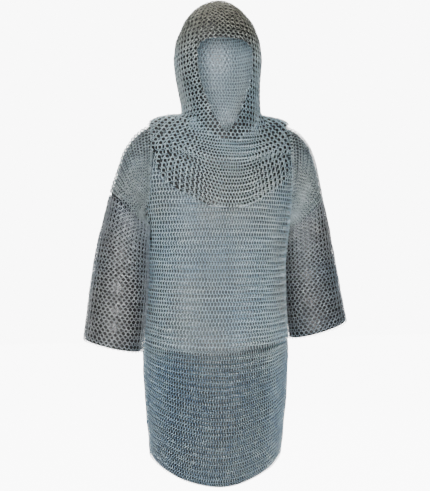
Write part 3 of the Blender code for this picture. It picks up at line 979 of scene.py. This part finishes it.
change_below(coif_steel, CROWN_EDGE, (0.95, 1.0, 1.0), (0.46, 0.50, 0.52))
change_below(skirt_steel, SKIRT_EDGE, (0.83, 0.95, 1.0), (0.31, 0.42, 0.58))
print("edges", CROWN_EDGE, SKIRT_EDGE)

# %% Cloth below the rings
DRAWN_METAL = 0.9
DULL_WIRE = 0.6  # how bright the drawn wire's dull plate is, of its fresh plate
BUMP_DEPTH = 0.001
BUMP_STRENGTH = 0.6


def painted_shade_cloth(name, wire, painted_gap_shade, ring_shape):
    """Make the cloth below the rings, with the weave drawn on it in painted light and shade."""
    material, tree, shader = new_material(name)
    place = add_node(tree, "ShaderNodeUVMap", uv_map="weave")
    drawn = add_node(tree, "ShaderNodeGroup", node_tree=drawn_mail)
    half_width, half_height = ring_shape
    feed(tree, drawn, Vector=place.outputs["UV"], Half_Width=half_width, Half_Height=half_height)
    mask = drawn.outputs["Mask"]
    finish = plated(tree, shader, wire, [value * DULL_WIRE for value in wire])
    colour = mix_colours(tree, mask, (*painted_gap_shade, 1), finish.outputs["Color"])
    metal = calculate(tree, "MULTIPLY", mask, DRAWN_METAL)
    bump = add_node(tree, "ShaderNodeBump")
    feed(tree, bump, Strength=BUMP_STRENGTH, Distance=BUMP_DEPTH, Height=mask)
    feed(tree, shader, Base_Color=colour, Metallic=metal, Normal=bump.outputs["Normal"])
    return material


# Nearly black gaps and dim drawn wire: painted shade between and behind the rings.
body_weave_painted_shade = painted_shade_cloth("body_weave_painted_shade", (0.14, 0.16, 0.175), (0.012, 0.0135, 0.015), ROUND_RING)
skirt_cloth = painted_shade_cloth("skirt_cloth", (0.03, 0.036, 0.042), (0.003, 0.0034, 0.004), CLOSE_RING)
shoulder_cloth = painted_shade_cloth(
    "shoulder_cloth", (0.05, 0.053, 0.055), (0.004, 0.0045, 0.005), ROUND_RING
)
sleeve_cloth = painted_shade_cloth("sleeve_cloth", (0.03, 0.03, 0.031), (0.003, 0.003, 0.003), OPEN_RING)
# Paler gaps and wire for the inner side: painted light, for light that falls in at the face and
# comes back from ring to ring.
inner_weave_painted_light = painted_shade_cloth("inner_weave_painted_light", (0.50, 0.55, 0.60), (0.12, 0.14, 0.155), CLOSE_RING)
coif_weave_painted_shade = painted_shade_cloth("coif_weave_painted_shade", (0.03, 0.031, 0.031), (0.003, 0.003, 0.003), OPEN_RING)
print("finishes", len(bpy.data.materials))

# %% [markdown]
# ## The shirt
# The shirt is one tube of mail from hem to armpits. Above the waist its rings
# are large and hang open; below it they are smaller and closer. The mantle
# hides the chest above its edge, and no rings are laid there. The shirt's own
# neck is cut low enough to stay out of sight in the hood's opening.

# %% Where the shirt has rings
COVER_REACH = 0.030
COVER_BELOW = 0.006  # the mantle has to lie over the place this much lower as well
NECKLINE_HEIGHT = -0.055
NECKLINE_HALF_WIDTH = 0.070
RING_TO_WALL = 0.003  # a ring is laid where the wall is at least this near


def under_mantle(point, out):
    """Tell whether the mantle lies over a place, and over the one a ring's height lower."""
    for lower in (0.0, COVER_BELOW):
        start = point - Vector((0, 0, lower))
        if mantle_tree.ray_cast(start, out, COVER_REACH)[0] is None:
            return False
    return True


def below_neckline(point):
    """Tell whether a place of the shirt lies below or beside its open neck."""
    return point.z < NECKLINE_HEIGHT or abs(point.x - NECK_AXIS.x) > NECKLINE_HALF_WIDTH


def body_wall(front):
    """Make the test for rings of the front or the back."""

    def on_wall(point, out, across):
        if (0 < across % 1.0 < 0.5) != front:
            return False
        if body_tree.find_nearest(point, RING_TO_WALL)[0] is None:
            return False
        return below_neckline(point) and not under_mantle(point, out)

    return on_wall


# %% Rings of the shirt
WAIST = body_along(WAIST_HEIGHT)
ROW_GAP = 0.008  # between the last row of one zone and the first of the next, along the form
CHEST_SPAN = (0.04, WAIST)
SKIRT_SPAN = (WAIST + ROW_GAP, 0.997)
CHEST_PITCHES = (0.0104, 0.0094)
SKIRT_PITCHES = (0.0091, 0.0086)
CHEST_COUNT = 136
SKIRT_COUNT = 168
CHEST_LEAN = 46
SKIRT_LEAN = 54
SHIRT_LIFT = -0.0015

large_ring = ring_source("large ring", radius=0.0061, wire_radius=0.00076)
small_ring = ring_source("small ring", radius=0.0049, wire_radius=0.00066)
chest_rows = level_rows(body_form, FRONT, CHEST_SPAN, CHEST_PITCHES, CHEST_COUNT)
skirt_rows = level_rows(body_form, FRONT, SKIRT_SPAN, SKIRT_PITCHES, SKIRT_COUNT)
shirt_rings = {"front": [], "back": []}
for label, rings in shirt_rings.items():
    for zone, rows, ring, steel, lean in (
        ("chest", chest_rows, large_ring, body_steel, CHEST_LEAN),
        ("skirt", skirt_rows, small_ring, skirt_steel, SKIRT_LEAN),
    ):
        wall = body_wall(label == "front")
        piece = lay_rows(f"{zone}_{label}_rings", body_form, rows, ring, lean, SHIRT_LIFT, wall)
        piece.data.materials.append(steel)
        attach(piece, "root")
        rings.append(piece)

# %% Cloth of the shirt
DRAWN_ROWS = 90  # drawn rows from one end of a form to the other

for label, start in (("front", 0.0), ("back", 0.5)):
    node = f"body_{label}"
    cloth = lay_cloth(
        f"{node}_cloth", body_form, tree_of(node), grid=(32, 56),
        reach=(start, start + 0.5, 0.0, 1.0), weave_counts=(CHEST_COUNT, DRAWN_ROWS),
        depth=0.0038, closed=False, kept=below_neckline,
    )
    cloth.data.materials.append(body_weave_painted_shade)
    cloth.data.materials.append(skirt_cloth)
    for polygon in cloth.data.polygons:
        polygon.material_index = int(polygon.center.z + droop_at(polygon.center) < WAIST_HEIGHT)
    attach(cloth, "root")
    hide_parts(node)

# %% [markdown]
# ## The sleeves
# The shoulder pieces are tight mail, and the sleeves below them are stretched
# wide, so that their square holes show. The seam between the two slants down
# towards the body.

# %% Rings and cloth of the sleeves
tight_ring = ring_source("tight ring", radius=0.0053, wire_radius=0.00068)
sleeve_ring = ring_source("sleeve ring", radius=0.0058, wire_radius=0.00072)
SLEEVE_ZONES = {
    "shoulder": {
        "rows": (0.012, SHOULDER_SHARE - ROW_GAP), "pitch": 0.0112, "count": 62,
        "ring": tight_ring, "steel": shoulder_steel, "lean": 42, "lift": -0.0022,
        "cloth": shoulder_cloth, "span": (0.0, SHOULDER_SHARE), "depth": 0.0056,
        "drawn_rows": 50, "flat": (0.60, 0.22), "area": 0.065,
    },
    "sleeve": {
        "rows": (SHOULDER_SHARE + ROW_GAP, 0.995), "pitch": 0.0067, "count": 36,
        "ring": sleeve_ring, "steel": sleeve_steel, "lean": 16, "lift": -0.0012,
        "cloth": sleeve_cloth, "span": (SHOULDER_SHARE, 1.0), "depth": 0.0050,
        "drawn_rows": DRAWN_ROWS, "flat": (0.48, 0.33), "area": 0.14,
    },
}


def near_tree(tree, limit=RING_TO_WALL):
    """Make a test for rings that lie on some walls."""

    def on_wall(point, out, across):
        return tree.find_nearest(point, limit)[0] is not None

    return on_wall


for side, form in sleeve_forms.items():
    for zone, plan in SLEEVE_ZONES.items():
        node = f"{zone}_{side}"
        tree = tree_of(node)
        pitches = (plan["pitch"], plan["pitch"])
        rows = level_rows(form, 0.0, plan["rows"], pitches, plan["count"])
        rings = lay_rows(
            f"{node}_rings", form, rows, plan["ring"], plan["lean"], plan["lift"], near_tree(tree)
        )
        rings.data.materials.append(plan["steel"])
        cloth = lay_cloth(
            f"{node}_cloth", form, tree, grid=(64, 26), reach=(0.0, 1.0, *plan["span"]),
            weave_counts=(plan["count"], plan["drawn_rows"]), depth=plan["depth"],
        )
        cloth.data.materials.append(plan["cloth"])
        for piece in (rings, cloth):
            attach(piece, "root")
        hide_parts(node)

# %% [markdown]
# ## The hood and its mantle
# The hood is stretched over the head, so its rings lie open. Its rows are
# circles at an even distance from the crown. Fewer rings fit in a circle near
# the crown, as on a real hood, where rows are narrowed. Through the opening for
# the face one sees the inner side of the hood's back, which has its own rings.

# %% Measure the hood down from its crown, in rows of rings
COIF_STEPS = 240
HOOD_PITCH = 0.0066
TIGHT_PITCH = 0.0086  # rows of the mantle in front and behind, where it hangs closed
WIDE_PITCH = 0.0056  # and over the shoulders, where it is stretched
MANTLE_START = 0.42
MANTLE_EASE = 0.06


def row_pitch(across, along):
    """Tell the distance between rows of the hood or the mantle at a place."""
    hanging = math.sin(math.tau * across) ** 2
    pitch = WIDE_PITCH + (TIGHT_PITCH - WIDE_PITCH) * hanging
    share = smooth_step((along - MANTLE_START) / MANTLE_EASE)
    return HOOD_PITCH + (pitch - HOOD_PITCH) * share


def count_rows(across):
    """Count the rows from the crown to each step down one column of the hood."""
    line = [0.0]
    before = coif_form.at(across, 0)
    for step in range(1, COIF_STEPS + 1):
        along = step / COIF_STEPS
        point = coif_form.at(across, along)
        line.append(line[-1] + (point - before).length / row_pitch(across, along))
        before = point
    return line


coif_lengths = [count_rows(column / COIF_COLUMNS) for column in range(COIF_COLUMNS)]
front_column = round(FRONT * COIF_COLUMNS)
print("rows in front", round(coif_lengths[front_column][-1]), "side", round(coif_lengths[0][-1]))


# %% Rows of the hood
def along_of_length(line, length):
    """Find the place along a column where a row lies."""
    if length >= line[-1]:
        return 1.0
    low, high = 0, COIF_STEPS
    while high - low > 1:
        middle = (low + high) // 2
        if line[middle] < length:
            low = middle
        else:
            high = middle
    return (low + (length - line[low]) / (line[high] - line[low])) / COIF_STEPS


def coif_row(length):
    """Make the place function of a row, counted from the crown."""

    def along_at(across):
        column = (across % 1.0) * COIF_COLUMNS
        first = int(column) % COIF_COLUMNS
        share = column - int(column)
        here = along_of_length(coif_lengths[first], length)
        there = along_of_length(coif_lengths[(first + 1) % COIF_COLUMNS], length)
        return here + (there - here) * share

    return along_at


def coif_rows(first, last, counts):
    """List rows of the hood; counts tells how many rings fit from each row on."""
    rows = []
    for number in range(first, last):
        count = [rings for start, rings in counts if start <= number][-1]
        rows.append((count, 0.5 * (number % 2), coif_row(number + 1)))
    return rows


HOOD_COUNTS = ((0, 6), (2, 12), (4, 18), (6, 24), (9, 32), (13, 40), (18, 48), (24, 56))
MANTLE_COUNTS = ((0, 56), (48, 70), (56, 84))
HOOD_SPAN = (0, 70)  # the rows that are tried; the walls decide which rings stay
MANTLE_SPAN = (40, 100)
INNER_ROWS = 45
INNER_COUNT = 84
INNER_FIRST = 14
INNER_STEP = 1.35  # rows of the hood from one inner row to the next
hood_rows = coif_rows(*HOOD_SPAN, HOOD_COUNTS)
mantle_rows = coif_rows(*MANTLE_SPAN, MANTLE_COUNTS)
inner_rows = []
for number in range(INNER_ROWS):
    row = coif_row(INNER_FIRST + number * INNER_STEP)
    inner_rows.append((INNER_COUNT, 0.5 * (number % 2), row))
print("rows", len(hood_rows), len(mantle_rows), len(inner_rows))

# %% Rings of the hood and the mantle
HOOD_TO_WALL = 0.0018  # rings of the hood and the mantle are kept nearer to their own walls
MANTLE_TO_WALL = 0.0020
HOOD_LEAN = 18
INNER_LEAN = 48
MANTLE_OPEN_LEAN = 18
MANTLE_CLOSING = 22
SIDE_SPREAD = 0.25
HOOD_LIFT = -0.0015  # how far the rings' middles are outside the wall's outer side
MANTLE_LIFT = -0.0010
INNER_LIFT = 0.0058  # inwards, because the inner rings face the other way
BACK_SPAN = (0.52, 0.98)  # the back of the hood, of once round


def wider_at_sides(across):
    """Space the rings of a row wider over the shoulders than in front and behind."""
    return across + SIDE_SPREAD * math.sin(4 * math.pi * across) / (4 * math.pi)


def mantle_lean(across):
    """Lean the rings steeply where the mantle hangs closed."""
    return MANTLE_OPEN_LEAN + MANTLE_CLOSING * math.sin(math.tau * across) ** 2


def inside_back(point, out, across):
    """Tell whether a place is on the inner side of the hood's back."""
    if not BACK_SPAN[0] < across % 1.0 < BACK_SPAN[1]:
        return False
    return coif_tree.find_nearest(point, RING_TO_WALL)[0] is not None


coif_ring = ring_source("coif ring", radius=0.0058, wire_radius=0.00080)
hood_rings = lay_rows(
    "hood_rings", coif_form, hood_rows, coif_ring, HOOD_LEAN, HOOD_LIFT,
    near_tree(hood_tree, HOOD_TO_WALL),
)
mantle_rings = lay_rows(
    "mantle_rings", coif_form, mantle_rows, coif_ring, mantle_lean, MANTLE_LIFT,
    near_tree(mantle_tree, MANTLE_TO_WALL), spread=wider_at_sides,
)
inner_rings = lay_rows(
    "hood_inner_rings", coif_form, inner_rows, large_ring, INNER_LEAN, INNER_LIFT,
    inside_back, facing=-1,
)
for piece, steel in (
    (hood_rings, coif_steel), (mantle_rings, mantle_steel), (inner_rings, inner_steel_painted_light),
):
    piece.data.materials.append(steel)
    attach(piece, "root")

# %% Cloth of the hood and the mantle
hood_cloth = lay_cloth(
    "hood_cloth", coif_form, hood_tree, grid=(72, 50), reach=(0.0, 1.0, 0.0, 0.72),
    weave_counts=(56, DRAWN_ROWS), depth=0.0042,
)
mantle_cloth = lay_cloth(
    "mantle_cloth", coif_form, mantle_tree, grid=(64, 44), reach=(0.0, 1.0, 0.38, 1.0),
    weave_counts=(84, DRAWN_ROWS), depth=0.0036,
)
for cloth, node, flat, area, rings in (
    (hood_cloth, "coif_hood", (0.72, 0.36), 0.17, [hood_rings, inner_rings]),
    (mantle_cloth, "coif_mantle", (0.80, 0.28), 0.16, [mantle_rings]),
):
    # The inner side gets the paler cloth, painted light, and the outer side the dark one, painted
    # shade.
    cloth.data.materials.append(inner_weave_painted_light)
    cloth.data.materials.append(coif_weave_painted_shade)
    cloth.modifiers["thickness"].material_offset = 1
    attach(cloth, "root")
    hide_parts(node)
    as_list(rings)

# %% [markdown]
# ## Floor and light
# A plain pale floor lies below the shirt, and the world is the backdrop. The
# camera sees both white, as in a product photograph. The steel sees a soft room
# instead, brighter above, in front and to the left. One soft light stands in
# front, a little above the waist, and larger ones hang above and stand behind.

# %% Floor
FLOOR_HEIGHT = -1.45
FLOOR_HALF_SIZE = 6
WHITE = 9.0  # how bright the camera sees the floor and the backdrop

floor_mesh = bpy.data.meshes.new("floor")
sweep = bmesh.new()
bmesh.ops.create_grid(sweep, x_segments=1, y_segments=1, size=FLOOR_HALF_SIZE)
bmesh.ops.translate(sweep, verts=sweep.verts[:], vec=(0, 0, FLOOR_HEIGHT))
sweep.to_mesh(floor_mesh)
sweep.free()
floor = new_object("floor", floor_mesh)
pale, pale_nodes, pale_shader = new_material("pale_floor")
camera_ray = add_node(pale_nodes, "ShaderNodeLightPath").outputs["Is Camera Ray"]
glow = calculate(pale_nodes, "MULTIPLY", camera_ray, WHITE)
feed(pale_nodes, pale_shader, Base_Color=(0.9, 0.9, 0.9, 1), Roughness=0.9)
feed(pale_nodes, pale_shader, Emission_Color=(1, 1, 1, 1), Emission_Strength=glow)
floor_mesh.materials.append(pale)
floor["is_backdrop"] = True
print("floor at", FLOOR_HEIGHT)

# %% Backdrop
ROOM = (
    ("Z", (-0.5, 0.8), (0.10, 0.80)),  # brighter above
    ("Y", (0.6, -0.9), (0.9, 1.0)),  # and in front
    ("X", (-0.2, 0.9), (1.0, 0.25)),  # and darker to the right
)
world = bpy.data.worlds.new("studio")
bpy.context.scene.world = world
world.use_nodes = True
studio = world.node_tree
direction = axes(studio, add_node(studio, "ShaderNodeTexCoord").outputs["Generated"])
room = None
for axis, span, levels in ROOM:
    level = ramp(studio, direction[axis], *span, *levels)
    room = level if room is None else calculate(studio, "MULTIPLY", room, level)
camera_ray = add_node(studio, "ShaderNodeLightPath").outputs["Is Camera Ray"]
strength = calculate(studio, "MAXIMUM", room, calculate(studio, "MULTIPLY", camera_ray, WHITE))
feed(studio, studio.nodes["Background"], Color=(1.0, 1.0, 1.0, 1), Strength=strength)
print("backdrop", len(studio.nodes), "nodes")


# %% Lights
def soft_light(name, place, aim, size, power):
    """Hang a square soft light that looks at a point."""
    data = bpy.data.lights.new(name, "AREA")
    data.shape = "SQUARE"
    data.size = size
    data.energy = power
    lamp = new_object(name, data)
    lamp.location = place
    lamp.rotation_euler = (Vector(aim) - Vector(place)).to_track_quat("-Z", "Y").to_euler()
    print(name, "light", power, "W")


soft_light("key", place=(-0.40, -2.10, -0.36), aim=(0, 0, -0.22), size=0.6, power=58)
soft_light("top", place=(-0.9, -0.9, 1.8), aim=(0, 0, -0.2), size=1.2, power=16)
soft_light("back", place=(0.9, 2.4, 0.5), aim=(0, 0, -0.25), size=1.2, power=34)

# %% Sizes and the end
visual_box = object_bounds()
print("visual box", [rounded(corner) for corner in visual_box])
